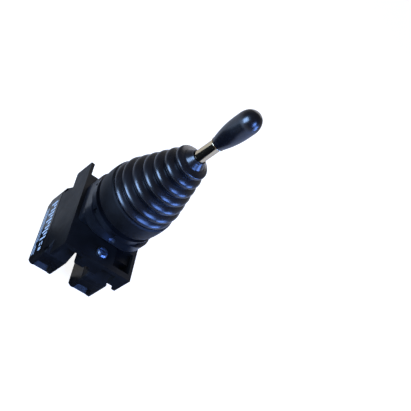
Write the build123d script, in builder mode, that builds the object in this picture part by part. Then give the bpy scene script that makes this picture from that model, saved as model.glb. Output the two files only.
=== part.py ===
from build123d import *
from math import radians, tan
import os

os.makedirs("parts", exist_ok=True)

# Panel-mounted lever switch. Z runs up the lever, and the panel seats against the plane Z 0.
# The lever tilts about Y, towards +X and -X, and works one contact block on each side.
# Names ending in _z are levels on the Z axis. Sizes are in millimetres.

# Fits
slip = 0.05  # radial clearance of pieces that turn or slide on each other
seated = 0.02  # clearance of pieces that stay together
passing = 0.1  # gap between faces that move past each other

# Motion
tilt_max = 15.0  # degrees each way
arm_x = 14.0  # from the pivot to the rocker's noses, the plungers and the blocks' centres
plunger_travel = arm_x * radians(tilt_max)

# Bezel, with its threaded neck
gasket_t = 1.0
bezel_h = 12.0
bezel_r = 21.7
bezel_rear_taper = 0.5  # loss of radius from the belly to the rear edge
bezel_front_taper = 0.3
bezel_rim_round = 0.8
bezel_floor_t = 3.0
boot_seat_depth = 3.6
boot_foot_w = 3.2
neck_r = 11.0
neck_wall = 2.2
neck_end_z = -7.0
bezel_rim_r = bezel_r - bezel_front_taper
boot_seat_r = bezel_rim_r - bezel_rim_round
bezel_inner_r = boot_seat_r - boot_foot_w
neck_bore_r = neck_r - neck_wall
bezel_rear_z = gasket_t
bezel_front_z = bezel_rear_z + bezel_h
boot_seat_z = bezel_front_z - boot_seat_depth

# Ring nut behind the panel
panel_room = 2.1  # between the gasket and the nut, for a 2 mm panel
nut_t = 3.9
nut_step = 0.4  # smaller than the bezel
nut_notches = 8
nut_first_notch = 37.0  # degrees from +X
nut_notch_w = 2.4
nut_notch_depth = 1.2
nut_notch_h = 2.8
nut_r = bezel_r - nut_step
nut_front_z = -panel_room
nut_rear_z = nut_front_z - nut_t

# Pivot pin, bushes and rocker
pivot_depth = 4.0  # behind the head body's front face
pin_r = 2.0
pin_chamfer = 0.3
pin_inset = 0.5  # from the head body's sides
bush_wall = 1.0
bush_length = 4.0
hub_wall = 1.4
hub_half_length = 6.3
arm_half_w = 3.0
arm_root_r = 3.2
arm_tip_r = 1.3
arm_droop = 0.45  # of an arm's tip below the pivot, with the arm at its highest
nose_r = 2.0
nose_drop = 5.0  # from the pivot down to the nose's centre
nose_gap = 0.1  # between a nose and its plunger with the lever upright
rod_r = 3.5
socket_wall = 2.0
socket_h = 9.0  # above the pivot
socket_depth = 4.6
cross_pin_r = 1.0
cross_pin_depth = 2.3  # below the socket's mouth
arm_tip_drop = arm_x * tan(radians(tilt_max)) + arm_droop
bush_r = pin_r + bush_wall
hub_r = bush_r + hub_wall
socket_r = rod_r + socket_wall
pivot_z = nut_rear_z - pivot_depth
socket_top_z = pivot_z + socket_h
socket_floor_z = socket_top_z - socket_depth
cross_pin_z = socket_top_z - cross_pin_depth
nose_z = pivot_z - nose_drop

# Head body, a rounded square that carries the pivot pin
head_h = 7.5
head_roof_t = 2.0
head_flat = 14.0  # straight length of each side
head_edge_r = 1.2
head_margin = 0.7  # beyond the boss, in X
boss_h = 5.0
boss_end_wall = 1.1
boss_corner_r = 2.0
nose_swing_room = 2.2  # beyond a nose, in X
hub_end_room = 0.3
cavity_half_x = arm_x + nose_r + nose_swing_room
cavity_half_y = hub_half_length + hub_end_room
boss_half_x = cavity_half_x + boss_end_wall
head_half = boss_half_x + head_margin
head_corner_r = head_half - head_flat / 2
pin_half_length = head_half - pin_inset
head_front_z = nut_rear_z
head_rear_z = head_front_z - head_h
boss_rear_z = head_rear_z - boss_h

# Screws that hold the bracket to the head body
head_screw_r = 1.4
head_screw_head_r = 2.6
head_screw_head_t = 2.0
head_screw_depth = 4.5
head_screw_land = 1.8  # between the cavity and the screw
head_screw_wall = 1.6  # outside the screw
head_screw_y = cavity_half_y + head_screw_land + head_screw_r
boss_half_y = head_screw_y + head_screw_r + head_screw_wall

# Lever rod and knob
rod_end_z = 72.0
spigot_step = 1.3
spigot_length = 11.0
insert_wall = 1.0
insert_length = 12.0
knob_base_step = 0.3  # the knob's base stands this far proud of the rod
knob_belly_r = 6.25
knob_flank_h = 17.0
knob_barrel_h = 3.6
knob_end_h = 8.0
quarter_pull = 0.552  # places a Bezier's handles so that it follows a quarter ellipse
spigot_r = rod_r - spigot_step
insert_r = spigot_r + insert_wall
knob_base_r = rod_r + knob_base_step
knob_belly_z = rod_end_z + knob_flank_h
knob_end_z = knob_belly_z + knob_barrel_h
knob_top_z = knob_end_z + knob_end_h

# Rubber boot: the first fold rolls over the clamp ring, and the others shrink evenly
boot_foot_t = 2.0
boot_wall = 1.3
boot_neck_step = 1.8  # from the seat in to the waist that the clamp ring grips
boot_folds = 7
boot_first_crest_h = 1.6  # above the bezel's front
boot_second_crest_h = 6.9
boot_crest_pitch = 6.3
boot_crest_band = 2.0  # width of the flat on a crest
boot_first_bulge = 0.1  # the first crest beyond the seat
boot_second_step = 0.7  # the second crest inside the seat
boot_valley_depth = 2.3
boot_rod_gap = 0.3
nozzle_wall = 3.4
nozzle_tip_wall = 1.2
nozzle_rise = 2.8  # from the last crest to the nozzle's foot
nozzle_h = 1.6
nozzle_taper_h = 2.4
last_crest_step = 3.5  # the last crest beyond the nozzle
clamp_ring_t = 1.2
boot_neck_r = boot_seat_r - boot_neck_step
boot_bore_r = rod_r + boot_rod_gap
nozzle_r = boot_bore_r + nozzle_wall
boot_foot_top_z = boot_seat_z + boot_foot_t

# Contact blocks, which set the width of the bracket
block_w = 14.4
block_half_y = 24.3
block_shoulder = 3.9  # the front of a block is this much shorter at each end
block_slope_length = 8.0
block_straight = 4.0  # full-length stretch of the housing, in front of the cover
housing_depth = 26.5
cover_depth = 16.0
block_rear_chamfer = 3.5
block_edge_chamfer = 0.5
cell_side_wall = 2.5
cell_end_wall = 10.3
guide_wall = 4.0  # round the plunger, in front of the cell
latch_w = 5.0
latch_h = 2.5
latch_depth = 1.0
latch_inset_y = 2.2  # from the block's end
latch_behind_slope = 1.0
block_front_half_y = block_half_y - block_shoulder
block_outer_x = arm_x + block_w / 2
cell_half_x = block_w / 2 - cell_side_wall
cell_half_y = block_half_y - cell_end_wall

# Fixing bracket
plate_t = 3.0
plate_overlap = 0.6  # beyond the head body, at the top
plate_drop = 6.7  # beyond the blocks, at the bottom
ear_rise = 5.2  # beyond the blocks, at the top
flange_t = 2.0
flange_depth = 15.7
flange_proud = 0.6  # beyond the blocks' outer faces
bracket_edge_r = 1.2
corner_cut_w = 11.0
corner_cut_h = 13.5
foot_w = 7.6
foot_t = 3.5
foot_depth = 12.0
bracket_half_x = block_outer_x + flange_proud
flange_inner_x = bracket_half_x - flange_t
plate_top_y = head_half + plate_overlap
plate_bottom_y = -block_half_y - plate_drop
ear_top_y = block_half_y + ear_rise
plate_front_z = boss_rear_z
plate_rear_z = plate_front_z - plate_t
flange_rear_z = plate_front_z - flange_depth

# Clamp that draws the two blocks against the plate
block_clamp_h = 13.0
block_clamp_drop = 0.3  # its middle beyond the blocks' ends
block_clamp_half_y = 4.4
block_clamp_nose_r = 3.0
block_clamp_slot_w = 3.0
block_clamp_slot_depth = 5.0
clamp_screw_r = 2.0
clamp_screw_head_r = 3.3
clamp_screw_head_t = 2.4
clamp_screw_bevel = 0.8
clamp_screw_length = 7.5
block_clamp_half_x = arm_x - block_w / 2 - passing
block_clamp_y = -block_half_y - block_clamp_drop
clamp_screw_z = plate_rear_z - clamp_screw_length

# Levels of the blocks
block_split_z = plate_rear_z - housing_depth
block_rear_z = block_split_z - cover_depth

# Plungers, their bridges and springs, from the noses down
plunger_r = 2.0
plunger_head_r = 3.2
plunger_head_t = 2.0
plunger_tail = 5.8  # beyond the spring plate
pocket_room = 0.6  # round a plunger's head, and under it at full travel
shoulder_t = 2.0
shoulder_room = 0.2  # above a shoulder at full travel
bridge_t = 1.0
bridge_w = 5.0
bridge_end = 2.0  # beyond a contact tip
tip_r = 1.5
tip_t = 0.5
tip_inset = 4.5  # from the cell's end wall
contact_gap = 0.1  # left between the tips with the plunger fully in
spring_plate_t = 1.0
spring_plate_r = 3.4
spring_r = 3.0
spring_wire = 0.6
spring_turns = 4
spring_well_r = 4.2
spring_well_depth = 2.0
plunger_top_z = nose_z - nose_r - nose_gap
pocket_floor_z = plunger_top_z - plunger_head_t - plunger_travel - pocket_room
cell_front_z = pocket_floor_z - guide_wall
shoulder_z = cell_front_z - shoulder_room - plunger_travel - shoulder_t
bridge_bottom_z = shoulder_z - bridge_t
spring_plate_z = bridge_bottom_z - spring_plate_t
plunger_end_z = spring_plate_z - plunger_tail
well_floor_z = block_split_z - spring_well_depth
tip_y = cell_half_y - tip_inset
bridge_half_y = tip_y + bridge_end

# Fixed contacts and terminals
strip_t = 1.0
strip_w = 5.0
leg_gap = 0.4  # between a leg and the cell's end wall
tongue_depth = 6.0  # behind the parting of the block
tongue_inset = 3.9  # from the block's end
tongue_side_gap = 1.0
slot_gap = 0.1
window_side_wall = 2.2
window_rear_wall = 1.4
ramp_depth = 3.4  # of the lead-in at a window's rear edge
ramp_h = 3.8
terminal_inset = 7.9  # from the block's end to the screw
clamp_t = 1.0
clamp_half_y = 3.2
screw_r = 1.75
screw_room = 0.25
screw_end = 1.5  # beyond the tongue
screw_head_r = 2.8
screw_head_t = 2.4
screw_access_gap = 0.3
screw_slot_w = 0.8
screw_slot_depth = 0.9
leg_y = cell_half_y - leg_gap - strip_t
strip_inner_y = tip_y - tip_r
tongue_end_y = block_half_y - tongue_inset
terminal_y = block_half_y - terminal_inset
window_w = block_w - 2 * window_side_wall
tongue_w = window_w - 2 * tongue_side_gap
fixed_tip_z = bridge_bottom_z - tip_t - plunger_travel - contact_gap
strip_top_z = fixed_tip_z - tip_t
tongue_front_z = block_split_z - tongue_depth
window_rear_z = block_rear_z + window_rear_wall
clamp_rear_z = window_rear_z + screw_head_t
ramp_y = block_half_y - ramp_depth

sides = (("left", -1), ("right", 1))


def save(piece, label):
    piece.label = label
    export_step(piece, f"parts/{label}.step")


# Bezel: a barrel-sided ring with a floor, and a neck that passes through the panel
with BuildPart() as bezel:
    with BuildSketch(Plane.XZ):
        with BuildLine():
            belly = ThreePointArc(
                (bezel_r - bezel_rear_taper, bezel_rear_z),
                (bezel_r, bezel_rear_z + bezel_h / 2),
                (bezel_rim_r, bezel_front_z - bezel_rim_round),
            )
            Polyline(
                belly @ 1,
                (boot_seat_r, bezel_front_z),
                (boot_seat_r, boot_seat_z),
                (bezel_inner_r, boot_seat_z),
                (bezel_inner_r, bezel_rear_z + bezel_floor_t),
                (neck_bore_r, bezel_rear_z + bezel_floor_t),
                (neck_bore_r, neck_end_z),
                (neck_r, neck_end_z),
                (neck_r, bezel_rear_z),
                belly @ 0,
            )
        make_face()
    revolve(axis=Axis.Z)
save(bezel.part, "bezel")

with BuildPart() as panel_gasket:
    with BuildSketch():
        Circle(boot_seat_r)
        Circle(neck_r + slip, mode=Mode.SUBTRACT)
    extrude(amount=gasket_t)
save(panel_gasket.part, "panel_gasket")

# Ring nut: spanner notches round its rear half
with BuildPart() as ring_nut:
    with BuildSketch(Plane.XY.offset(nut_rear_z)):
        Circle(nut_r)
        Circle(neck_r + slip, mode=Mode.SUBTRACT)
    extrude(amount=nut_t)
    with BuildSketch(Plane.XY.offset(nut_rear_z)):
        with PolarLocations(nut_r, nut_notches, start_angle=nut_first_notch):
            Rectangle(2 * nut_notch_depth, nut_notch_w)
    extrude(amount=nut_notch_h, mode=Mode.SUBTRACT)
save(ring_nut.part, "ring_nut")

# Head body: rounded square with a boss behind it, hollow for the rocker
screw_places = ((0, head_screw_y), (0, -head_screw_y))
with BuildPart() as head_body:
    with BuildSketch(Plane.XY.offset(head_rear_z)):
        RectangleRounded(2 * head_half, 2 * head_half, head_corner_r)
    extrude(amount=head_h)
    fillet(head_body.edges().group_by(Axis.Z)[0], head_edge_r)
    with BuildSketch(Plane.XY.offset(boss_rear_z)):
        RectangleRounded(2 * boss_half_x, 2 * boss_half_y, boss_corner_r)
    extrude(amount=boss_h + head_edge_r)
    with BuildSketch(Plane.XY.offset(boss_rear_z)):
        Rectangle(2 * cavity_half_x, 2 * cavity_half_y)
    extrude(amount=boss_h + head_h - head_roof_t, mode=Mode.SUBTRACT)
    with BuildSketch(Plane.XY.offset(head_front_z - head_roof_t)):
        Circle(neck_r + slip)
    extrude(amount=head_roof_t, mode=Mode.SUBTRACT)
    with BuildSketch(Plane.XZ.offset(-head_half)):
        with Locations((0, pivot_z)):
            Circle(pin_r + seated)
    extrude(amount=2 * head_half, mode=Mode.SUBTRACT)
    with BuildSketch(Plane.XY.offset(boss_rear_z)):
        with Locations(*screw_places):
            Circle(head_screw_r + seated)
    extrude(amount=head_screw_depth, mode=Mode.SUBTRACT)
save(head_body.part, "head_body")

with BuildPart() as pivot_pin:
    with BuildSketch(Plane.XZ.offset(-pin_half_length)):
        with Locations((0, pivot_z)):
            Circle(pin_r)
    extrude(amount=2 * pin_half_length)
    chamfer(pivot_pin.edges().filter_by(GeomType.CIRCLE), pin_chamfer)
save(pivot_pin.part, "pivot_pin")

# Rocker: hub on the pin, a socket for the rod, and an arm with a rounded nose on each side
with BuildPart() as rocker:
    with BuildSketch(Plane.XZ.offset(-arm_half_w)):
        for side in (-1, 1):
            with BuildSketch(mode=Mode.PRIVATE) as arm_ends:
                with Locations((0, pivot_z)):
                    Circle(arm_root_r)
                with Locations((side * arm_x, pivot_z - arm_tip_drop)):
                    Circle(arm_tip_r)
            make_hull(arm_ends.sketch.edges())
            with Locations((side * arm_x, nose_z)):
                Circle(nose_r)
    extrude(amount=2 * arm_half_w)
    with BuildSketch(Plane.XZ.offset(-hub_half_length)):
        with Locations((0, pivot_z)):
            Circle(hub_r)
    extrude(amount=2 * hub_half_length)
    with BuildSketch(Plane.XY.offset(pivot_z)):
        Circle(socket_r)
    extrude(amount=socket_h)
    with BuildSketch(Plane.XY.offset(socket_floor_z)):
        Circle(rod_r + seated)
    extrude(amount=socket_depth, mode=Mode.SUBTRACT)
    with BuildSketch(Plane.XZ.offset(-hub_half_length)):
        with Locations((0, pivot_z)):
            Circle(bush_r + seated)
    extrude(amount=2 * hub_half_length, mode=Mode.SUBTRACT)
    with BuildSketch(Plane.XZ.offset(-socket_r)):
        with Locations((0, cross_pin_z)):
            Circle(cross_pin_r + seated)
    extrude(amount=2 * socket_r, mode=Mode.SUBTRACT)
save(rocker.part, "rocker")

with BuildPart() as pivot_bushes:
    for start_y in (-hub_half_length, hub_half_length - bush_length):
        with BuildSketch(Plane.XZ.offset(-start_y - bush_length)):
            with Locations((0, pivot_z)):
                Circle(bush_r)
                Circle(pin_r + slip, mode=Mode.SUBTRACT)
        extrude(amount=bush_length)
save(pivot_bushes.part, "pivot_bushes")

# Lever rod, drilled for its cross pin and stepped down to a spigot inside the knob
with BuildPart() as lever_rod:
    with BuildSketch(Plane.XY.offset(socket_floor_z)):
        Circle(rod_r)
    extrude(amount=rod_end_z - socket_floor_z)
    with BuildSketch(Plane.XY.offset(rod_end_z)):
        Circle(spigot_r)
    extrude(amount=spigot_length)
    with BuildSketch(Plane.XZ.offset(-rod_r)):
        with Locations((0, cross_pin_z)):
            Circle(cross_pin_r + seated)
    extrude(amount=2 * rod_r, mode=Mode.SUBTRACT)
save(lever_rod.part, "lever_rod")

with BuildPart() as rod_cross_pin:
    with BuildSketch(Plane.XZ.offset(-socket_r)):
        with Locations((0, cross_pin_z)):
            Circle(cross_pin_r)
    extrude(amount=2 * socket_r)
save(rod_cross_pin.part, "rod_cross_pin")

with BuildPart() as knob_insert:
    with BuildSketch(Plane.XY.offset(rod_end_z)):
        Circle(insert_r)
        Circle(spigot_r + seated, mode=Mode.SUBTRACT)
    extrude(amount=insert_length)
save(knob_insert.part, "knob_insert")

# Knob: a pear whose flank swells from the rod to a short barrel and an elliptical end
with BuildPart() as knob:
    with BuildSketch(Plane.XZ):
        with BuildLine():
            TangentArc((knob_belly_r, knob_belly_z), (knob_base_r, rod_end_z), tangent=(0, -1))
            Line((knob_belly_r, knob_belly_z), (knob_belly_r, knob_end_z))
            Bezier(
                (knob_belly_r, knob_end_z),
                (knob_belly_r, knob_end_z + quarter_pull * knob_end_h),
                (quarter_pull * knob_belly_r, knob_top_z),
                (0, knob_top_z),
            )
            Polyline(
                (0, knob_top_z),
                (0, rod_end_z + insert_length),
                (insert_r + seated, rod_end_z + insert_length),
                (insert_r + seated, rod_end_z),
                (knob_base_r, rod_end_z),
            )
        make_face()
    revolve(axis=Axis.Z)
save(knob.part, "knob")

# Rubber boot: a foot under the clamp ring, a cone of folds, and a nozzle round the rod
last_crest_r = nozzle_r + last_crest_step
even_folds = boot_folds - 1
crest_step = (boot_seat_r - boot_second_step - last_crest_r) / (even_folds - 1)
crests = [(boot_seat_r + boot_first_bulge, bezel_front_z + boot_first_crest_h)]
for fold in range(even_folds):
    crest_r = boot_seat_r - boot_second_step - fold * crest_step
    crests.append((crest_r, bezel_front_z + boot_second_crest_h + fold * boot_crest_pitch))
nozzle_z = crests[-1][1] + nozzle_rise

outline = [(boot_neck_r, bezel_front_z)]
for (lower_r, lower_z), (upper_r, upper_z) in zip(crests, crests[1:]):
    outline.append((lower_r, lower_z - boot_crest_band / 2))
    outline.append((lower_r, lower_z + boot_crest_band / 2))
    outline.append(((lower_r + upper_r) / 2 - boot_valley_depth, (lower_z + upper_z) / 2))
outline.append((last_crest_r, crests[-1][1] - boot_crest_band / 2))
outline.append((last_crest_r, crests[-1][1] + boot_crest_band / 2))

with BuildPart() as boot:
    with BuildSketch(Plane.XZ):
        with BuildLine():
            Polyline(
                *outline,
                (nozzle_r, nozzle_z),
                (nozzle_r, nozzle_z + nozzle_h),
                (boot_bore_r + nozzle_tip_wall, nozzle_z + nozzle_h + nozzle_taper_h),
                (boot_bore_r, nozzle_z + nozzle_h + nozzle_taper_h),
                (boot_bore_r, nozzle_z),
                (boot_neck_r - boot_wall, boot_foot_top_z),
                (boot_neck_r - boot_wall, boot_seat_z),
                (boot_seat_r - seated, boot_seat_z),
                (boot_seat_r - seated, boot_foot_top_z),
                (boot_neck_r, boot_foot_top_z),
                close=True,
            )
        make_face()
    revolve(axis=Axis.Z)
save(boot.part, "boot")

with BuildPart() as boot_clamp_ring:
    with BuildSketch(Plane.XY.offset(boot_foot_top_z)):
        Circle(boot_seat_r - seated)
        Circle(boot_neck_r + seated, mode=Mode.SUBTRACT)
    extrude(amount=clamp_ring_t)
save(boot_clamp_ring.part, "boot_clamp_ring")

# Fixing bracket: front plate, two deep side flanges with ears, and one turned-in foot
with BuildPart() as fixing_bracket:
    with BuildSketch(Plane.XY.offset(plate_rear_z)):
        with Locations((0, (plate_top_y + plate_bottom_y) / 2)):
            Rectangle(2 * bracket_half_x, plate_top_y - plate_bottom_y)
    extrude(amount=plate_t)
    with BuildSketch(Plane.YZ.offset(-bracket_half_x)):
        with Locations(((ear_top_y + plate_bottom_y) / 2, (plate_front_z + flange_rear_z) / 2)):
            RectangleRounded(ear_top_y - plate_bottom_y, flange_depth, bracket_edge_r)
    extrude(amount=flange_t)
    mirror(about=Plane.YZ)
    with BuildSketch(Plane.XY.offset(plate_front_z - foot_depth)):
        with Locations((bracket_half_x - foot_w / 2, plate_bottom_y + foot_t / 2)):
            Rectangle(foot_w, foot_t)
    extrude(amount=foot_depth)
    with BuildSketch(Plane.XY.offset(plate_rear_z)):
        with Locations((flange_inner_x - corner_cut_w / 2, plate_bottom_y + foot_t + corner_cut_h / 2)):
            Rectangle(corner_cut_w, corner_cut_h)
        Rectangle(2 * cavity_half_x, 2 * cavity_half_y)
        with Locations(*screw_places):
            Circle(head_screw_r + seated)
        with Locations((0, block_clamp_y)):
            Circle(clamp_screw_r + seated)
    extrude(amount=plate_t, mode=Mode.SUBTRACT)
save(fixing_bracket.part, "fixing_bracket")

# Screws that hold the bracket to the head body, put in from behind
with BuildPart() as head_screws:
    head_screw_rear_z = plate_rear_z - head_screw_head_t
    with BuildSketch(Plane.XY.offset(head_screw_rear_z)):
        with Locations(*screw_places):
            Circle(head_screw_head_r)
    extrude(amount=head_screw_head_t)
    with BuildSketch(Plane.XY.offset(plate_rear_z)):
        with Locations(*screw_places):
            Circle(head_screw_r)
    extrude(amount=plate_t + head_screw_depth)
    with BuildSketch(Plane.XY.offset(head_screw_rear_z)):
        with Locations(*screw_places):
            Rectangle(2 * head_screw_head_r, screw_slot_w)
    extrude(amount=screw_slot_depth, mode=Mode.SUBTRACT)
save(head_screws.part, "head_screws")

# Clamp between the blocks: a body with a rounded lower nose, slotted into two jaws
with BuildPart() as block_clamp:
    with BuildSketch(Plane.YZ.offset(-block_clamp_half_x)) as clamp_side:
        with Locations((block_clamp_y, plate_rear_z - block_clamp_h / 2)):
            Rectangle(2 * block_clamp_half_y, block_clamp_h)
        rear_corners = clamp_side.vertices().group_by(Axis.Y)[0]
        fillet(rear_corners.sort_by(Axis.X)[0], block_clamp_nose_r)
    extrude(amount=2 * block_clamp_half_x)
    with BuildSketch(Plane.XY.offset(plate_rear_z - block_clamp_h)):
        with Locations((0, block_clamp_y)):
            Rectangle(block_clamp_slot_w, 2 * block_clamp_half_y)
    extrude(amount=block_clamp_slot_depth, mode=Mode.SUBTRACT)
    with BuildSketch(Plane.XY.offset(clamp_screw_z)):
        with Locations((0, block_clamp_y)):
            Circle(clamp_screw_r + seated)
    extrude(amount=clamp_screw_length, mode=Mode.SUBTRACT)
save(block_clamp.part, "block_clamp")

with BuildPart() as clamp_screw:
    with BuildSketch(Plane.XY.offset(clamp_screw_z)):
        with Locations((0, block_clamp_y)):
            Circle(clamp_screw_r)
    extrude(amount=clamp_screw_length + plate_t)
    with BuildSketch(Plane.XY.offset(plate_front_z)):
        with Locations((0, block_clamp_y)):
            Circle(clamp_screw_head_r)
    extrude(amount=clamp_screw_head_t)
    chamfer(clamp_screw.edges().group_by(Axis.Z)[-1], clamp_screw_bevel)
    with BuildSketch(Plane.XY.offset(plate_front_z + clamp_screw_head_t - screw_slot_depth)):
        with Locations((0, block_clamp_y)):
            Rectangle(2 * clamp_screw_head_r, screw_slot_w)
    extrude(amount=screw_slot_depth, mode=Mode.SUBTRACT)
save(clamp_screw.part, "clamp_screw")


def contact_housing(side):
    """Front shell of a contact block: plunger guide, contact cell, and a rebate for the flange."""
    slope_end_z = block_split_z + block_straight
    slope_start_z = slope_end_z + block_slope_length
    latch_z = slope_end_z + latch_behind_slope
    latch_y = block_half_y - latch_inset_y
    with BuildPart() as housing:
        with BuildSketch(Plane.YZ.offset(side * arm_x - block_w / 2)):
            with BuildLine():
                Polyline(
                    (0, plate_rear_z),
                    (block_front_half_y, plate_rear_z),
                    (block_front_half_y, slope_start_z),
                    (block_half_y, slope_end_z),
                    (block_half_y, block_split_z),
                    (0, block_split_z),
                )
                mirror(about=Plane.YZ)
            make_face()
        extrude(amount=block_w)
        chamfer(housing.faces().filter_by(Axis.X).edges(), block_edge_chamfer)
        rebate = block_outer_x - flange_inner_x + passing
        with BuildSketch(Plane.XY.offset(flange_rear_z - passing)):
            with Locations((side * (block_outer_x - rebate / 2), 0)):
                Rectangle(rebate, 2 * ear_top_y)
        extrude(amount=plate_rear_z - flange_rear_z + passing, mode=Mode.SUBTRACT)
        with BuildSketch(Plane.YZ.offset(side * block_outer_x)):
            with Locations((latch_y, latch_z), (-latch_y, latch_z)):
                Rectangle(latch_h, latch_w)
        extrude(amount=-side * latch_depth, mode=Mode.SUBTRACT)
        with BuildSketch(Plane.XY.offset(block_split_z)):
            with Locations((side * arm_x, 0)):
                Rectangle(2 * cell_half_x, 2 * cell_half_y)
        extrude(amount=cell_front_z - block_split_z, mode=Mode.SUBTRACT)
        with BuildSketch(Plane.XY.offset(cell_front_z)):
            with Locations((side * arm_x, 0)):
                Circle(plunger_r + slip)
        extrude(amount=plate_rear_z - cell_front_z, mode=Mode.SUBTRACT)
        with BuildSketch(Plane.XY.offset(pocket_floor_z)):
            with Locations((side * arm_x, 0)):
                Circle(plunger_head_r + pocket_room)
        extrude(amount=plate_rear_z - pocket_floor_z, mode=Mode.SUBTRACT)
    return housing.part


def contact_cover(side):
    """Rear shell of a contact block: spring well, terminal chambers with ramps, screw holes."""
    chamber_inner_y = leg_y - slot_gap
    with BuildPart() as cover:
        with BuildSketch(Plane.YZ.offset(side * arm_x - block_w / 2)):
            with BuildLine():
                Polyline(
                    (0, block_split_z),
                    (block_half_y, block_split_z),
                    (block_half_y, block_rear_z + block_rear_chamfer),
                    (block_half_y - block_rear_chamfer, block_rear_z),
                    (0, block_rear_z),
                )
                mirror(about=Plane.YZ)
            make_face()
        extrude(amount=block_w)
        chamfer(cover.faces().filter_by(Axis.X).edges(), block_edge_chamfer)
        with BuildSketch(Plane.XY.offset(well_floor_z)):
            with Locations((side * arm_x, 0)):
                Circle(spring_well_r)
        extrude(amount=spring_well_depth, mode=Mode.SUBTRACT)
        for end in (-1, 1):
            with BuildSketch(Plane.YZ.offset(side * arm_x - window_w / 2)):
                with BuildLine():
                    Polyline(
                        (end * chamber_inner_y, tongue_front_z),
                        (end * block_half_y, tongue_front_z),
                        (end * block_half_y, window_rear_z),
                        (end * ramp_y, window_rear_z + ramp_h),
                        (end * ramp_y, window_rear_z),
                        (end * chamber_inner_y, window_rear_z),
                        close=True,
                    )
                make_face()
            extrude(amount=window_w, mode=Mode.SUBTRACT)
            with BuildSketch(Plane.XY.offset(tongue_front_z)):
                with Locations((side * arm_x, end * (leg_y + strip_t / 2))):
                    Rectangle(strip_w + 2 * slot_gap, strip_t + 2 * slot_gap)
            extrude(amount=tongue_depth, mode=Mode.SUBTRACT)
            with BuildSketch(Plane.XY.offset(block_rear_z)):
                with Locations((side * arm_x, end * terminal_y)):
                    Circle(screw_head_r + screw_access_gap)
            extrude(amount=window_rear_wall, mode=Mode.SUBTRACT)
            with BuildSketch(Plane.XY.offset(tongue_front_z)):
                with Locations((side * arm_x, end * terminal_y)):
                    Circle(screw_r + screw_room)
            extrude(amount=screw_end + screw_room, mode=Mode.SUBTRACT)
    return cover.part


def plunger(side):
    """Push rod under a rocker nose, with a flat head and a shoulder above the bridge."""
    with BuildPart() as rod:
        with BuildSketch(Plane.XY.offset(plunger_end_z)):
            with Locations((side * arm_x, 0)):
                Circle(plunger_r)
        extrude(amount=plunger_top_z - plunger_end_z)
        with BuildSketch(Plane.XY.offset(plunger_top_z - plunger_head_t)):
            with Locations((side * arm_x, 0)):
                Circle(plunger_head_r)
        extrude(amount=plunger_head_t)
        with BuildSketch(Plane.XY.offset(shoulder_z)):
            with Locations((side * arm_x, 0)):
                Circle(plunger_head_r)
        extrude(amount=shoulder_t)
    return rod.part


def contact_bridge(side):
    """Flat bar across the plunger, with a contact tip under each end."""
    with BuildPart() as bar:
        with BuildSketch(Plane.XY.offset(bridge_bottom_z)):
            with Locations((side * arm_x, 0)):
                Rectangle(bridge_w, 2 * bridge_half_y)
                Circle(plunger_r + seated, mode=Mode.SUBTRACT)
        extrude(amount=bridge_t)
        with BuildSketch(Plane.XY.offset(bridge_bottom_z - tip_t)):
            with Locations((side * arm_x, tip_y), (side * arm_x, -tip_y)):
                Circle(tip_r)
        extrude(amount=tip_t)
    return bar.part


def spring_plate(side):
    """Washer clipped under the bridge, where the return spring pushes."""
    with BuildPart() as washer:
        with BuildSketch(Plane.XY.offset(spring_plate_z)):
            with Locations((side * arm_x, 0)):
                Circle(spring_plate_r)
                Circle(plunger_r + seated, mode=Mode.SUBTRACT)
        extrude(amount=spring_plate_t)
    return washer.part


def return_spring(side):
    """Open coil of square wire from the spring plate down to the well in the cover."""
    low_z = well_floor_z + spring_wire / 2
    height = spring_plate_z - spring_wire / 2 - low_z
    with BuildPart() as coil:
        with BuildLine():
            turns = Helix(height / spring_turns, height, spring_r, center=(side * arm_x, 0, low_z))
        with BuildSketch(Plane(origin=turns @ 0, z_dir=turns % 0)):
            Rectangle(spring_wire, spring_wire)
        sweep(is_frenet=True)
    return coil.part


def fixed_contacts(side):
    """Pair of bent strips, each with a tip under the bridge and a tongue in its terminal."""
    with BuildPart() as strips:
        for end in (-1, 1):
            with BuildSketch(Plane.XY.offset(strip_top_z - strip_t)):
                with Locations((side * arm_x, end * (strip_inner_y + leg_y + strip_t) / 2)):
                    Rectangle(strip_w, leg_y + strip_t - strip_inner_y)
            extrude(amount=strip_t)
            with BuildSketch(Plane.XY.offset(tongue_front_z - strip_t)):
                with Locations((side * arm_x, end * (leg_y + strip_t / 2))):
                    Rectangle(strip_w, strip_t)
            extrude(amount=strip_top_z - tongue_front_z + strip_t)
            with BuildSketch(Plane.XY.offset(tongue_front_z - strip_t)):
                with Locations((side * arm_x, end * (leg_y + tongue_end_y) / 2)):
                    Rectangle(tongue_w, tongue_end_y - leg_y)
                with Locations((side * arm_x, end * terminal_y)):
                    Circle(screw_r + seated, mode=Mode.SUBTRACT)
            extrude(amount=strip_t)
            with BuildSketch(Plane.XY.offset(strip_top_z)):
                with Locations((side * arm_x, end * tip_y)):
                    Circle(tip_r)
            extrude(amount=tip_t)
    return strips.part


for name, side in sides:
    save(contact_housing(side), f"contact_housing_{name}")
    save(contact_cover(side), f"contact_cover_{name}")
    save(plunger(side), f"plunger_{name}")
    save(contact_bridge(side), f"contact_bridge_{name}")
    save(spring_plate(side), f"spring_plate_{name}")
    save(return_spring(side), f"return_spring_{name}")
    save(fixed_contacts(side), f"fixed_contacts_{name}")

terminal_places = [(side * arm_x, end * terminal_y) for side in (-1, 1) for end in (-1, 1)]

with BuildPart() as terminal_clamps:
    with BuildSketch(Plane.XY.offset(clamp_rear_z)):
        with Locations(*terminal_places):
            Rectangle(tongue_w, 2 * clamp_half_y)
            Circle(screw_r + seated, mode=Mode.SUBTRACT)
    extrude(amount=clamp_t)
save(terminal_clamps.part, "terminal_clamps")

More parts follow.
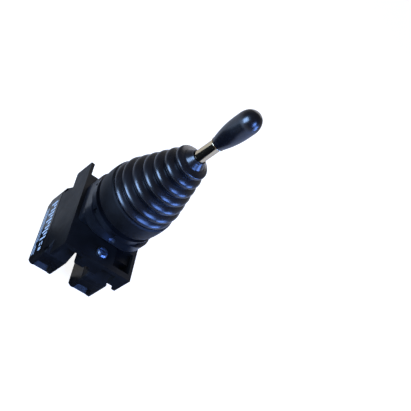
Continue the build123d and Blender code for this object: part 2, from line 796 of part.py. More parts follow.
with BuildPart() as terminal_screws:
    with BuildSketch(Plane.XY.offset(window_rear_z)):
        with Locations(*terminal_places):
            Circle(screw_head_r)
    extrude(amount=screw_head_t)
    with BuildSketch(Plane.XY.offset(clamp_rear_z)):
        with Locations(*terminal_places):
            Circle(screw_r)
    extrude(amount=tongue_front_z + screw_end - clamp_rear_z)
    with BuildSketch(Plane.XY.offset(window_rear_z)):
        with Locations(*terminal_places):
            Rectangle(2 * screw_head_r, screw_slot_w)
    extrude(amount=screw_slot_depth, mode=Mode.SUBTRACT)
save(terminal_screws.part, "terminal_screws")
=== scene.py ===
"""Looks of a panel-mounted lever switch, laid out as an add-on and run as a script."""
import math

import bpy
import numpy as np
from bpy.props import FloatProperty, FloatVectorProperty, IntProperty, PointerProperty
from mathutils import Matrix, Vector


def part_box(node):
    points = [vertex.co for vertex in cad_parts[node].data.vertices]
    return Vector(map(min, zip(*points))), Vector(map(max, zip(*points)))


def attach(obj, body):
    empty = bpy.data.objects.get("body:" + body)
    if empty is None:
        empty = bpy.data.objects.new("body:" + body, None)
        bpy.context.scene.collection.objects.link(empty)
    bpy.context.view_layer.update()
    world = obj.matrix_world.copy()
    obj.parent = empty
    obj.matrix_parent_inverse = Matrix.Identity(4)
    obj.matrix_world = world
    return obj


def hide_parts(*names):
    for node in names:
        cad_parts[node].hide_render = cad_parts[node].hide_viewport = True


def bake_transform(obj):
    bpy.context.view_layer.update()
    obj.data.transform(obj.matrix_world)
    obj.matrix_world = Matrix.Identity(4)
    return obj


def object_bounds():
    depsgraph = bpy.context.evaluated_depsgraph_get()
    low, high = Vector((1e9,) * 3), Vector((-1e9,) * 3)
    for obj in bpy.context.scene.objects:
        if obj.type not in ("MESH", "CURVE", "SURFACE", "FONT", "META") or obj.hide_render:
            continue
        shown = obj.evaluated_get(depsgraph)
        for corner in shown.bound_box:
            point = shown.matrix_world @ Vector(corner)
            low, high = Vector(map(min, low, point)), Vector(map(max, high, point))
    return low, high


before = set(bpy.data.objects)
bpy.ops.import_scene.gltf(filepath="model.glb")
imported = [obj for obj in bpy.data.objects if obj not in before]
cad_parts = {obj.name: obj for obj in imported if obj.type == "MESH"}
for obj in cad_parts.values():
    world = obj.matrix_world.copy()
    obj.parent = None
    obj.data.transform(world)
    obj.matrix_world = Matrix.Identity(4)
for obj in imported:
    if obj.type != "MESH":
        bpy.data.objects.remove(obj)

bl_info = {
    "name": "Lever switch finish",
    "version": (1, 0, 0),
    "blender": (4, 5, 0),
    "location": "3D View > Sidebar > Lever switch",
    "description": "Surfaces, finishes and studio for a panel-mounted lever switch",
    "category": "Object",
}

cad_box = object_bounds()
MM = 0.001
TAU = 2 * math.pi

# Detail of the finishes and of the meshes
haze_width_mm = 9.0  # of the drift in a moulded colour
marks_squeeze = 12  # how much closer tool marks lie along Z than across it
boot_segments = 160  # round the boot
rows_per_fold = 24
rows_before_first_crest = 5  # so that the first fold starts above the clamp ring
last_flank_rows = 12  # from the last crest to the nozzle
cone_rows = 8
lip_rows = 6
boot_sharp_angle = math.radians(50)
ferrule_wire_r = 0.3 * MM
ferrule_stand_off = 0.2 * MM  # of the wire's centre from the rod
ferrule_segments = 96
ferrule_wire_sides = 12
coil_wire_sides = 10
coil_steps_per_turn = 28


# ---------------------------------------------------------------- frame sizes


def top_of(name):
    """Highest level of a CAD node on Z, in metres."""
    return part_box(name)[1].z


def rear_of(name):
    """Lowest level of a CAD node on Z, in metres."""
    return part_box(name)[0].z


def radius_of(name):
    """Largest X reach of a CAD node that is round about Z, in metres."""
    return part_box(name)[1].x


# ---------------------------------------------------------------- mesh tools


def surface(name, points, closed_u=True, closed_v=False):
    """Mesh of a grid of points, rows along v and columns along u.

    Each cell becomes one quad; a closed direction joins its last line to its first.
    """
    rows, columns = points.shape[:2]
    index = np.arange(rows * columns).reshape(rows, columns)
    if closed_u:
        index = np.concatenate([index, index[:, :1]], axis=1)
    if closed_v:
        index = np.concatenate([index, index[:1]], axis=0)
    quads = np.stack(
        [index[:-1, :-1], index[:-1, 1:], index[1:, 1:], index[1:, :-1]], axis=-1
    ).reshape(-1, 4)
    mesh = bpy.data.meshes.new(name)
    mesh.from_pydata(points.reshape(-1, 3), [], quads)
    mesh.shade_smooth()
    piece = bpy.data.objects.new(name, mesh)
    bpy.context.scene.collection.objects.link(piece)
    return piece


def lathe(name, profile, segments):
    """Surface of revolution: each profile point (r, z) is carried round Z.

    x = r cos(angle), y = r sin(angle), z = z, with the profile as a closed loop.
    """
    angle = np.linspace(0, TAU, segments, endpoint=False)
    radius = profile[:, 0][:, None]
    height = np.broadcast_to(profile[:, 1][:, None], (len(profile), segments))
    points = np.stack([radius * np.cos(angle), radius * np.sin(angle), height], axis=-1)
    return surface(name, points, closed_u=True, closed_v=True)


# ---------------------------------------------------------------- material tools


def linear(code):
    """Linear RGBA of an sRGB hex colour such as 1b1c20."""
    channels = np.array([int(code[i:i + 2], 16) for i in (0, 2, 4)]) / 255
    low = channels / 12.92
    high = ((channels + 0.055) / 1.055) ** 2.4
    return (*np.where(channels <= 0.04045, low, high).tolist(), 1.0)


def node(tree, kind, links=None, **values):
    """Adds a node; values set its properties or inputs by name, links joins its inputs."""
    made = tree.nodes.new(kind)
    for key, value in values.items():
        if hasattr(made, key):
            setattr(made, key, value)
        else:
            made.inputs[key.replace("_", " ")].default_value = value
    for key, source in (links or {}).items():
        tree.links.new(source, made.inputs[key])
    return made


def new_material(name):
    """Empty node material with its tree and Principled shader."""
    material = bpy.data.materials.new(name)
    material.use_nodes = True
    tree = material.node_tree
    return material, tree, tree.nodes["Principled BSDF"]


def pattern(tree, place, width_mm, detail):
    """Noise over a place, with features about that wide."""
    noise = node(
        tree, "ShaderNodeTexNoise", {"Vector": place}, Scale=1 / (width_mm * MM), Detail=detail
    )
    return noise.outputs["Fac"]


def polish(tree, shader, noise, smoothest, roughest):
    """Roughness that runs between the two values over the middle range of a noise."""
    spread = node(
        tree, "ShaderNodeMapRange", {"Value": noise},
        From_Min=0.3, From_Max=0.7, To_Min=smoothest, To_Max=roughest,
    )
    tree.links.new(spread.outputs["Result"], shader.inputs["Roughness"])


def emboss(tree, shader, noise, relief_mm):
    """Bump of a noise, with its relief in millimetres."""
    bump = node(
        tree, "ShaderNodeBump", {"Height": noise}, Strength=1.0, Distance=relief_mm * MM
    )
    tree.links.new(bump.outputs["Normal"], shader.inputs["Normal"])


def moulded(name, base, worn, roughness, spread, grain_mm, relief_mm, specular=None):
    """Moulded plastic or rubber: a base colour that drifts a little, and a fine mould grain.

    base and worn are the darkest and palest colour of the drift, spread is how far the
    roughness drifts each way, and grain_mm and relief_mm are the mould grain's width and height.
    """
    material, tree, shader = new_material(name)
    place = node(tree, "ShaderNodeTexCoord").outputs["Object"]
    haze = pattern(tree, place, haze_width_mm, detail=4.0)
    colour = node(tree, "ShaderNodeValToRGB", {"Fac": haze})
    darkest, palest = colour.color_ramp.elements
    darkest.position, darkest.color = 0.35, linear(base)
    palest.position, palest.color = 0.75, linear(worn)
    tree.links.new(colour.outputs["Color"], shader.inputs["Base Color"])
    polish(tree, shader, haze, roughness - spread, roughness + spread)
    emboss(tree, shader, pattern(tree, place, grain_mm, detail=3.0), relief_mm)
    if specular is not None:
        shader.inputs["Specular IOR Level"].default_value = specular
    return material


def metal(name, colour, roughness, marks_mm, relief_mm):
    """Metal with fine tool marks: a noise squeezed along Z, as bump and as roughness."""
    material, tree, shader = new_material(name)
    place = node(tree, "ShaderNodeTexCoord").outputs["Object"]
    squeezed = node(tree, "ShaderNodeMapping", {"Vector": place}, Scale=(1, 1, marks_squeeze))
    marks = pattern(tree, squeezed.outputs["Vector"], marks_mm, detail=4.0)
    polish(tree, shader, marks, roughness * 0.7, roughness * 1.4)
    emboss(tree, shader, marks, relief_mm)
    shader.inputs["Base Color"].default_value = linear(colour)
    shader.inputs["Metallic"].default_value = 1.0
    return material


def matt(name, colour, roughness):
    """Plain dull surface of one colour, with its tree and shader."""
    material, tree, shader = new_material(name)
    shader.inputs["Base Color"].default_value = colour
    shader.inputs["Roughness"].default_value = roughness
    return material, tree, shader


def dress(material, *names):
    """Gives CAD nodes one material, in every slot."""
    for name in names:
        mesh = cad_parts[name].data
        mesh.materials.clear()
        mesh.materials.append(material)


# ---------------------------------------------------------------- materials


def nitrile_rubber():
    """Rubber from a smooth mould: near black and glossy, so each fold carries a bright line."""
    return moulded(
        "Moulded nitrile rubber", "0b0b0f", "131318", roughness=0.27, spread=0.04,
        grain_mm=0.25, relief_mm=0.008, specular=0.75,
    )


def phenolic():
    """Polished thermoset of the knob: the deepest black, with soft round highlights."""
    return moulded(
        "Polished phenolic", "0a0a0d", "101015", roughness=0.26, spread=0.03,
        grain_mm=0.6, relief_mm=0.002, specular=0.75,
    )


def chrome_plate():
    """Plating of the rod: a warm mirror, bright at both edges round a dark line."""
    return metal("Bright chrome plate", "dcc49c", 0.08, marks_mm=0.8, relief_mm=0.001)


def acetal():
    """Uncoloured plastic of the rocker and plungers: cream, pale beside the black shells."""
    return moulded(
        "Natural acetal", "d6d1c2", "e2ddd0", roughness=0.35, spread=0.05,
        grain_mm=0.3, relief_mm=0.006,
    )


def matt_polyamide():
    """Glass-filled plastic of the bezel, bracket and block fronts: dull black, hazed with grey."""
    return moulded(
        "Moulded black polyamide", "100e0e", "181616", roughness=0.5, spread=0.06,
        grain_mm=0.35, relief_mm=0.015, specular=0.21,
    )


def satin_polyamide():
    """Smoother plastic of the block covers: their wire lead-ins catch the lamp in front."""
    return moulded(
        "Satin black polyamide", "141110", "1d1a18", roughness=0.3, spread=0.04,
        grain_mm=0.35, relief_mm=0.008, specular=0.42,
    )


def glossy_polyamide():
    """Plastic of the nut and head: a cooler black with a broad sheen behind the dull bezel."""
    return moulded(
        "Semi-gloss black polyamide", "101013", "191a1e", roughness=0.34, spread=0.05,
        grain_mm=0.35, relief_mm=0.01,
    )


def zinc_plate():
    """Plating of the hardware: light cool grey, so that screws and pins stand out in black."""
    return metal("Zinc plated steel", "b9bec6", 0.28, marks_mm=0.4, relief_mm=0.004)


def blackened_zinc():
    """Darker plating of the clamp screw: a mid grey that only glints where a lamp meets it."""
    return metal("Blackened zinc", "6a7280", 0.34, marks_mm=0.4, relief_mm=0.004)


def spring_steel():
    """Drawn wire of the springs: grey and shinier than the plating round it."""
    return metal("Bright spring steel", "aeb2b8", 0.22, marks_mm=0.3, relief_mm=0.002)


def brass():
    """Bushes, insert and contacts: the one yellow among the greys, mostly hidden."""
    return metal("Plain brass", "c9a45c", 0.3, marks_mm=0.4, relief_mm=0.004)


def printed_ink(colour):
    """Pad-printed ink: pale and dull, so it reads as print and not as a raised bar."""
    return matt("Pad-printed ink", colour, roughness=0.6)[0]


# ---------------------------------------------------------------- sizes and colours


class BootSizes(bpy.types.PropertyGroup):
    """Folds and nozzle of the rubber boot."""

    folds: IntProperty(name="Folds", description="Number of folds", default=7, min=2)
    crest_pitch: FloatProperty(
        name="Fold pitch", description="Distance between two crests along the lever",
        default=6.4 * MM, unit="LENGTH",
    )
    first_crest_rise: FloatProperty(
        name="First crest", description="Height of the first crest above the bezel",
        default=1.0 * MM, unit="LENGTH",
    )
    second_crest_r: FloatProperty(
        name="Second crest radius", description="Radius of the second crest",
        default=19.9 * MM, unit="LENGTH",
    )
    last_crest_r: FloatProperty(
        name="Last crest radius", description="Radius of the crest beside the nozzle",
        default=9.9 * MM, unit="LENGTH",
    )
    valley_depth: FloatProperty(
        name="Valley depth", description="Depth of a valley under the crests beside it",
        default=3.0 * MM, unit="LENGTH",
    )
    crest_roundness: FloatProperty(
        name="Crest roundness", description="Below 1 gives fuller crests and tighter valleys",
        default=0.8, min=0.3, max=2.0,
    )
    nozzle_r: FloatProperty(
        name="Nozzle radius", description="Radius of the nozzle at its foot",
        default=6.5 * MM, unit="LENGTH",
    )
    lip_r: FloatProperty(
        name="Lip radius", description="Radius of the nozzle's end round the rod",
        default=4.3 * MM, unit="LENGTH",
    )
    lip_round: FloatProperty(
        name="Lip rounding", description="Radius of the rounding on the nozzle's end",
        default=0.5 * MM, unit="LENGTH",
    )
    nozzle_length: FloatProperty(
        name="Nozzle length", description="Length of the nozzle along the rod",
        default=4.0 * MM, unit="LENGTH",
    )
    waist_r: FloatProperty(
        name="Waist radius", description="Radius under the clamp ring",
        default=18.8 * MM, unit="LENGTH",
    )
    rod_gap: FloatProperty(
        name="Rod gap", description="Clearance between the nozzle's bore and the rod",
        default=0.3 * MM, unit="LENGTH",
    )
    wall: FloatProperty(
        name="Wall", description="Thickness of the rubber at the waist",
        default=1.3 * MM, unit="LENGTH",
    )


class SpringSizes(bpy.types.PropertyGroup):
    """Coils of the return springs."""

    turns: FloatProperty(
        name="Turns", description="Turns of wire, ends included", default=6.5, unit="NONE"
    )
    end_turns: FloatProperty(
        name="End turns", description="Turns that lie level at each end", default=0.75,
        unit="NONE",
    )
    wire_r: FloatProperty(
        name="Wire radius", description="Radius of the spring wire", default=0.25 * MM,
        unit="LENGTH",
    )


class PrintSizes(bpy.types.PropertyGroup):
    """Plain printed bars on the sides of the contact blocks."""

    ink: FloatProperty(
        name="Ink thickness", description="Thickness of the printed ink",
        default=0.04 * MM, unit="LENGTH",
    )
    colour: FloatVectorProperty(
        name="Ink colour", description="Colour of the printed bars", subtype="COLOR", size=4,
        default=linear("c6ccd2"), min=0, max=1,
    )


class StudioSizes(bpy.types.PropertyGroup):
    """Floor, lamps and camera."""

    key_power: FloatProperty(
        name="Key power", description="Power of the cool softbox on the left",
        default=6.4, unit="POWER",
    )
    blue_power: FloatProperty(
        name="Blue power", description="Power of the blue softbox on the right",
        default=2.6, unit="POWER",
    )
    front_power: FloatProperty(
        name="Front blue power", description="Power of the weak blue softbox low in front",
        default=2.9, unit="POWER",
    )
    back_power: FloatProperty(
        name="Back power", description="Power of the large softbox behind the object",
        default=1.2, unit="POWER",
    )
    flag_width: FloatProperty(
        name="Flag width", description="Width of the black card that chrome mirrors",
        default=310 * MM, unit="LENGTH",
    )
    floor_colour: FloatVectorProperty(
        name="Floor colour", description="Colour of the floor", subtype="COLOR", size=4,
        default=linear("c9c5bc"), min=0, max=1,
    )
    room_colour: FloatVectorProperty(
        name="Room colour", description="Colour of the room round the object",
        subtype="COLOR", size=4, default=linear("f0eff0"), min=0, max=1,
    )


# ---------------------------------------------------------------- stage

# Camera: its place, the directions of its axes and its focal length in millimetres
eye = Vector((-144.81, -256.46, 277.2)) * MM
eye_right = Vector((0.7368, 0.1381, 0.6618))
eye_up = Vector((-0.517, 0.7459, 0.4199))
eye_back = eye_right.cross(eye_up)
focal_length = 63.834

# Lamps: direction from the point they aim at, side in metres, power in StudioSizes, colour
lamps = {
    "key": ((-0.86, -0.43, 0.27), 0.34, "key_power", "a2c8ff"),
    "blue": ((0.9, -0.4, 0.18), 0.24, "blue_power", "6f9dff"),
    "front blue": ((0.44, -0.7, 0.58), 0.24, "front_power", "6f9dff"),
    "back": ((0.35, 0.9, 0.3), 0.5, "back_power", "f6f6ff"),
}
lamp_distance = 0.6
lamp_aim = Vector((0, 0, 0.02))

# Strength of the room's light behind the object and on the camera's side, and the cosines
# from the camera's direction between which it turns from one to the other
room_behind, room_before = 0.3, 0.11
room_turn = (-0.5, 0.2)

# Floor, and the black card that lies on it before the object, in metres
floor_reach = 4.0
floor_glow_to_camera = 0.9
floor_glow_in_reflections = 0.3
flag_near, flag_far = 0.01, 0.3
flag_rise = 1 * MM  # above the floor


def seen_white(tree, room_colour):
    """Light Path node, and a colour that is white to the camera and the room's to the rest."""
    path = node(tree, "ShaderNodeLightPath")
    tint = node(tree, "ShaderNodeValToRGB", {"Fac": path.outputs["Is Camera Ray"]})
    tint.color_ramp.elements[0].color = room_colour
    return path, tint.outputs["Color"]


class LEVERSWITCH_OT_stage(bpy.types.Operator):
    """Builds the floor, the lamps, the world and the camera"""

    bl_idname = "leverswitch.stage"
    bl_label = "Studio"

    def floor(self, sizes):
        """Flat square on the level of the object's lowest point."""
        line = np.array([-floor_reach, floor_reach])
        x, y = np.meshgrid(line, line)
        points = np.stack([x, y, np.full_like(x, cad_box[0][2])], axis=-1)
        floor = surface("floor", points, closed_u=False)
        material, tree, shader = matt("Matt paper floor", sizes.floor_colour, roughness=0.9)
        path, tint = seen_white(tree, sizes.room_colour)
        to_camera = node(
            tree, "ShaderNodeMath", {0: path.outputs["Is Camera Ray"]}, operation="MULTIPLY"
        )
        to_camera.inputs[1].default_value = floor_glow_to_camera
        glow = node(
            tree, "ShaderNodeMath",
            {0: path.outputs["Is Glossy Ray"], 2: to_camera.outputs["Value"]},
            operation="MULTIPLY_ADD",
        )
        glow.inputs[1].default_value = floor_glow_in_reflections
        tree.links.new(tint, shader.inputs["Emission Color"])
        tree.links.new(glow.outputs["Value"], shader.inputs["Emission Strength"])
        floor.data.materials.append(material)

    def flag(self, sizes):
        """Black card flat before the object, met only by reflections, as a dark line in chrome."""
        forward = Vector((eye_back.x, eye_back.y, 0)).normalized()
        across = Vector((-forward.y, forward.x, 0))
        half = sizes.flag_width / 2
        along = np.array([flag_near, flag_near, flag_far, flag_far])[:, None] * np.array(forward)
        aside = np.array([-half, half, -half, half])[:, None] * np.array(across)
        level = np.array([0, 0, cad_box[0][2] + flag_rise])
        flag = surface("flag", (along + aside + level).reshape(2, 2, 3), closed_u=False)
        material, _, shader = matt("Black card", linear("0a0a0c"), roughness=0.9)
        shader.inputs["Specular IOR Level"].default_value = 0.1
        flag.data.materials.append(material)
        flag.visible_camera = False
        flag.visible_diffuse = False
        flag.visible_transmission = False
        flag.visible_shadow = False

    def lamp(self, name, side, size, power, colour):
        """Square softbox in a direction from the point that the lamps aim at, facing it."""
        light = bpy.data.lights.new(name, "AREA")
        light.shape = "SQUARE"
        light.size = size
        light.energy = power
        light.color = linear(colour)[:3]
        lamp = bpy.data.objects.new(name, light)
        direction = Vector(side).normalized()
        turn = direction.to_track_quat("Z", "Y").to_matrix().to_4x4()
        lamp.matrix_world = Matrix.Translation(lamp_aim + direction * lamp_distance) @ turn
        bpy.context.scene.collection.objects.link(lamp)

    def world(self, sizes):
        """Pale room behind the object and dark on the camera's side; white to the camera."""
        world = bpy.data.worlds.new("Studio")
        world.use_nodes = True
        tree = world.node_tree
        background = tree.nodes["Background"]
        way = node(tree, "ShaderNodeTexCoord").outputs["Generated"]
        facing = node(tree, "ShaderNodeVectorMath", {0: way}, operation="DOT_PRODUCT")
        facing.inputs[1].default_value = eye_back
        room = node(
            tree, "ShaderNodeMapRange", {"Value": facing.outputs["Value"]},
            interpolation_type="SMOOTHSTEP", From_Min=room_turn[0], From_Max=room_turn[1],
            To_Min=room_behind, To_Max=room_before,
        )
        path, tint = seen_white(tree, sizes.room_colour)
        level = node(
            tree, "ShaderNodeMath",
            {0: path.outputs["Is Camera Ray"], 1: room.outputs["Result"]}, operation="MAXIMUM",
        )
        tree.links.new(tint, background.inputs["Color"])
        tree.links.new(level.outputs["Value"], background.inputs["Strength"])
        bpy.context.scene.world = world

    def camera(self):
        """Camera above and to the left of the switch, turned so that the lever points right."""
        lens = bpy.data.cameras.new("camera")
        lens.lens = focal_length
        camera = bpy.data.objects.new("camera", lens)
        axes = Matrix((eye_right, eye_up, eye_back)).transposed()
        camera.matrix_world = Matrix.Translation(eye) @ axes.to_4x4()
        bpy.context.scene.collection.objects.link(camera)
        bpy.context.scene.camera = camera

    def execute(self, context):
        sizes = context.scene.leverswitch_studio
        context.scene.view_settings.view_transform = "Standard"
        self.floor(sizes)
        self.flag(sizes)
        for name, (side, size, power, colour) in lamps.items():
            self.lamp(name, side, size, getattr(sizes, power), colour)
        self.world(sizes)
        self.camera()
        return {"FINISHED"}


# ---------------------------------------------------------------- boot


class LEVERSWITCH_OT_boot(bpy.types.Operator):
    """Builds the folded rubber boot between the clamp ring and the rod"""

    bl_idname = "leverswitch.boot"
    bl_label = "Rubber boot"

    def folds(self, sizes, first_z, foot_r, root_z):
        """Outline (r, z) of the folds, from the root of the first to the root of the nozzle.

        Counting p in folds from the first crest, r = e - d (1 - |cos(pi p)| ^ n): e is the line
        through the crests, d the valley depth, and a power n below 1 fills the crests out.
        Past the last crest the flank falls as r = nozzle + drop |cos(pi q / 2)| ^ n, with q
        from 0 at the crest to 1 at the nozzle.
        """
        last = sizes.folds - 1
        p = np.arange(-rows_before_first_crest, last * rows_per_fold + 1) / rows_per_fold
        envelope = np.interp(p, [0, 1, last], [foot_r, sizes.second_crest_r, sizes.last_crest_r])
        fullness = np.abs(np.cos(math.pi * p)) ** sizes.crest_roundness
        r = envelope - sizes.valley_depth * (1 - fullness)
        z = first_z + p * sizes.crest_pitch
        q = np.arange(1, last_flank_rows + 1) / last_flank_rows
        fall = np.abs(np.cos(math.pi * q / 2)) ** sizes.crest_roundness
        flank_r = sizes.nozzle_r + (sizes.last_crest_r - sizes.nozzle_r) * fall
        flank_z = z[-1] + q * (root_z - z[-1])
        flank = np.stack([flank_r, flank_z], axis=-1)
        return np.concatenate([np.stack([r, z], axis=-1), flank[:-1]])

    def nozzle(self, sizes, root_z, tip_z):
        """Outline (r, z) of the nozzle: a cone from its root, then a rounded lip.

        Cone: r falls in a straight line with z. Lip: a quarter circle, r = l - t (1 - cos a)
        and z = tip - t (1 - sin a), t being its radius and a the angle from the side.
        """
        lip = sizes.lip_round
        foot, end = np.array([(sizes.nozzle_r, root_z), (sizes.lip_r, tip_z - lip)])
        cone = foot + np.linspace(0, 1, cone_rows)[:, None] * (end - foot)
        angle = np.linspace(0, math.pi / 2, lip_rows + 1)[1:]
        r = sizes.lip_r - lip * (1 - np.cos(angle))
        z = tip_z - lip * (1 - np.sin(angle))
        return np.concatenate([cone, np.stack([r, z], axis=-1)])

    def execute(self, context):
        sizes = context.scene.leverswitch_boot
        rubber = nitrile_rubber()
        dress(rubber, "boot", "panel_gasket")
        foot_r = radius_of("boot_clamp_ring")
        foot_z, foot_top = rear_of("boot"), rear_of("boot_clamp_ring")
        tip_z = top_of("boot")
        root_z = tip_z - sizes.nozzle_length
        bore_r = radius_of("lever_rod") + sizes.rod_gap
        inner_r = sizes.waist_r - sizes.wall
        foot = [(foot_r, foot_z), (foot_r, foot_top)]
        waist = [(sizes.waist_r, foot_top), (sizes.waist_r, top_of("boot_clamp_ring"))]
        inside = [(bore_r, tip_z), (bore_r, root_z), (inner_r, foot_top), (inner_r, foot_z)]
        outline = np.concatenate([
            foot, waist,
            self.folds(sizes, top_of("bezel") + sizes.first_crest_rise, foot_r, root_z),
            self.nozzle(sizes, root_z, tip_z),
            inside,
        ])
        boot = lathe("boot_folds", outline, boot_segments)
        boot.data.materials.append(rubber)
        boot.data.set_sharp_from_angle(angle=boot_sharp_angle)
        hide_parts("boot")
        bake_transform(boot)
        return {"FINISHED"}


# ---------------------------------------------------------------- lever


class LEVERSWITCH_OT_lever(bpy.types.Operator):
    """Finishes the knob, the rod and the rocker under them"""

    bl_idname = "leverswitch.lever"
    bl_label = "Lever"

    def ferrule(self, chrome):
        """Thin round wire on the rod under the knob: a circle of radius t carried round Z."""
        t = ferrule_wire_r
        turn = np.linspace(0, TAU, ferrule_wire_sides, endpoint=False)
        r = radius_of("lever_rod") + ferrule_stand_off + t * np.cos(turn)
        z = rear_of("knob") - t + t * np.sin(turn)
        ferrule = lathe("knob_ferrule", np.stack([r, z], axis=-1), ferrule_segments)
        ferrule.data.materials.append(chrome)
        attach(ferrule, "lever")

    def execute(self, context):
        chrome = chrome_plate()
        dress(phenolic(), "knob")
        dress(chrome, "lever_rod")
        self.ferrule(chrome)
        dress(acetal(), "rocker", "plunger_left", "plunger_right")
        return {"FINISHED"}


# ---------------------------------------------------------------- housing


class LEVERSWITCH_OT_housing(bpy.types.Operator):
    """Finishes the bezel, the head, the bracket, the contact blocks and the small hardware"""

    bl_idname = "leverswitch.housing"
    bl_label = "Housing"

    def execute(self, context):
        dress(
            matt_polyamide(), "bezel", "fixing_bracket", "block_clamp", "contact_housing_left",
            "contact_housing_right",
        )
        dress(glossy_polyamide(), "ring_nut", "head_body")
        dress(satin_polyamide(), "contact_cover_left", "contact_cover_right")
        dress(
            zinc_plate(), "pivot_pin", "rod_cross_pin", "boot_clamp_ring", "head_screws",
            "spring_plate_left", "spring_plate_right", "return_spring_left",
            "return_spring_right", "terminal_clamps", "terminal_screws",
        )
        dress(blackened_zinc(), "clamp_screw")
        dress(
            brass(), "pivot_bushes", "knob_insert", "contact_bridge_left",
            "contact_bridge_right", "fixed_contacts_left", "fixed_contacts_right",
        )
        return {"FINISHED"}


# ---------------------------------------------------------------- springs


class LEVERSWITCH_OT_springs(bpy.types.Operator):
    """Winds the return springs in place of the CAD ones"""

    bl_idname = "leverswitch.springs"
    bl_label = "Return springs"

    def coil(self, name, centre_x, low, high, sizes):
        """Round wire carried along a helix.

        Centre line: (c + R cos a, R sin a, z), with z rising evenly with the angle a, and level
        over a stretch of wire at each end. Wire: centre line + w (cos b outward + sin b upward).
        """
        wire = sizes.wire_r
        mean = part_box("return_spring_left")[1].y - wire
        steps = int(sizes.turns * coil_steps_per_turn) + 1
        a = np.linspace(0, sizes.turns * TAU, steps)[:, None]
        b = np.linspace(0, TAU, coil_wire_sides, endpoint=False)[None, :]
        turn = a / a.max() * sizes.turns
        climb = np.clip((turn - sizes.end_turns) / (sizes.turns - 2 * sizes.end_turns), 0, 1)
        z = low + wire + (high - low - 2 * wire) * climb
        reach = mean + wire * np.cos(b)
        points = np.stack(np.broadcast_arrays(
            centre_x + reach * np.cos(a), reach * np.sin(a), z + wire * np.sin(b),
        ), axis=-1)
        ends = points[[0, -1]].mean(axis=1, keepdims=True).repeat(coil_wire_sides, axis=1)
        return surface(name, np.concatenate([ends[:1], points, ends[1:]]))

    def execute(self, context):
        sizes = context.scene.leverswitch_springs
        steel = spring_steel()
        for side in ("left", "right"):
            node_name = f"return_spring_{side}"
            low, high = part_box(node_name)
            centre_x = (low.x + high.x) / 2
            spring = self.coil(f"coil_spring_{side}", centre_x, low.z, high.z, sizes)
            spring.data.materials.append(steel)
            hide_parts(node_name)
            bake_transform(spring)
        return {"FINISHED"}


# ---------------------------------------------------------------- print


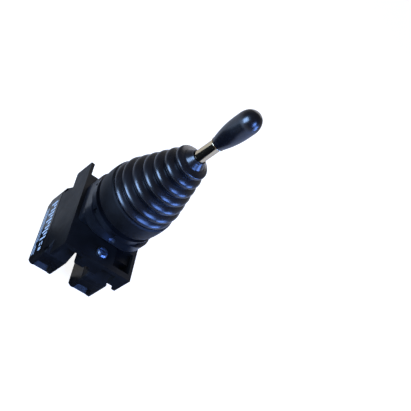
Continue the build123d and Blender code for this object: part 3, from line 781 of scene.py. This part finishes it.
class LEVERSWITCH_OT_print(bpy.types.Operator):
    """Prints plain bars on the outer sides of the contact blocks"""

    bl_idname = "leverswitch.print"
    bl_label = "Printed bars"

    def bars(self):
        """Rows of (centre y, centre z above the rear, half length, half width), in metres."""
        # In millimetres, as read along the block: long lines, a ladder of rungs, short dashes
        lines = [(-1.0, 2.4, 17.5, 0.42), (3.5, 4.2, 13.0, 0.3), (-15.5, 4.2, 3.2, 0.3)]
        rung_y = np.arange(-9.4, 19.0, 2.7)
        rung_top, rung_half_length = 13.2, 0.75
        reach = np.resize([3.3, 1.9, 3.3, 2.6, 1.6], len(rung_y))
        rungs = np.stack(
            [rung_y, rung_top - reach, np.full(len(rung_y), rung_half_length), reach], axis=-1
        )
        dashes = [(-13.6, 11.2, 1.3, 0.5), (-13.6, 8.9, 1.3, 0.5), (-17.4, 10.4, 1.1, 1.4)]
        return np.concatenate([lines, rungs, dashes]) * MM

    def boxes(self, name, side, sizes):
        """Thin box on each bar: corner = centre + sign * half size, so half the ink is proud."""
        bars = self.bars()
        face = side * abs(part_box("contact_cover_left")[0].x)
        ink = sizes.ink / 2
        centre = np.stack([
            np.full(len(bars), face), bars[:, 0], bars[:, 1] + rear_of("contact_cover_left"),
        ], axis=-1)
        half = np.stack([np.full(len(bars), ink), bars[:, 2], bars[:, 3]], axis=-1)
        signs = np.array([(x, y, z) for x in (-1, 1) for y in (-1, 1) for z in (-1, 1)])
        corners = centre[:, None] + half[:, None] * signs
        sides = np.array([
            (0, 1, 3, 2), (4, 6, 7, 5), (0, 4, 5, 1), (2, 3, 7, 6), (0, 2, 6, 4), (1, 5, 7, 3),
        ])
        faces = (np.arange(len(bars))[:, None, None] * len(signs) + sides).reshape(-1, 4)
        mesh = bpy.data.meshes.new(name)
        mesh.from_pydata(corners.reshape(-1, 3), [], faces)
        piece = bpy.data.objects.new(name, mesh)
        bpy.context.scene.collection.objects.link(piece)
        return piece

    def execute(self, context):
        sizes = context.scene.leverswitch_print
        ink = printed_ink(sizes.colour)
        for name, side in (("left", -1), ("right", 1)):
            piece = self.boxes(f"printed_bars_{name}", side, sizes)
            piece.data.materials.append(ink)
            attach(piece, "housing")
        return {"FINISHED"}


class LEVERSWITCH_PT_panel(bpy.types.Panel):
    """Lists the operators and the sizes a user would change"""

    bl_idname = "LEVERSWITCH_PT_panel"
    bl_label = "Lever switch"
    bl_space_type = "VIEW_3D"
    bl_region_type = "UI"
    bl_category = "Lever switch"

    def draw(self, context):
        for operator in operators:
            self.layout.operator(operator.bl_idname)
        for group, kind in groups.items():
            box = self.layout.box()
            for name in kind.__annotations__:
                box.prop(getattr(context.scene, group), name)


operators = (
    LEVERSWITCH_OT_stage,
    LEVERSWITCH_OT_housing,
    LEVERSWITCH_OT_lever,
    LEVERSWITCH_OT_boot,
    LEVERSWITCH_OT_springs,
    LEVERSWITCH_OT_print,
)
groups = {
    "leverswitch_boot": BootSizes,
    "leverswitch_springs": SpringSizes,
    "leverswitch_print": PrintSizes,
    "leverswitch_studio": StudioSizes,
}


def register():
    """Makes the operators, the panel and the size groups known to Blender."""
    for kind in (*groups.values(), *operators, LEVERSWITCH_PT_panel):
        bpy.utils.register_class(kind)
    for name, kind in groups.items():
        setattr(bpy.types.Scene, name, PointerProperty(type=kind))


def unregister():
    """Undoes register."""
    for name in groups:
        delattr(bpy.types.Scene, name)
    for kind in reversed((*groups.values(), *operators, LEVERSWITCH_PT_panel)):
        bpy.utils.unregister_class(kind)


def main():
    """Registers the add-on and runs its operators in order."""
    register()
    for operator in operators:
        group, name = operator.bl_idname.split(".")
        getattr(getattr(bpy.ops, group), name)()


if __name__ == "__main__":
    main()
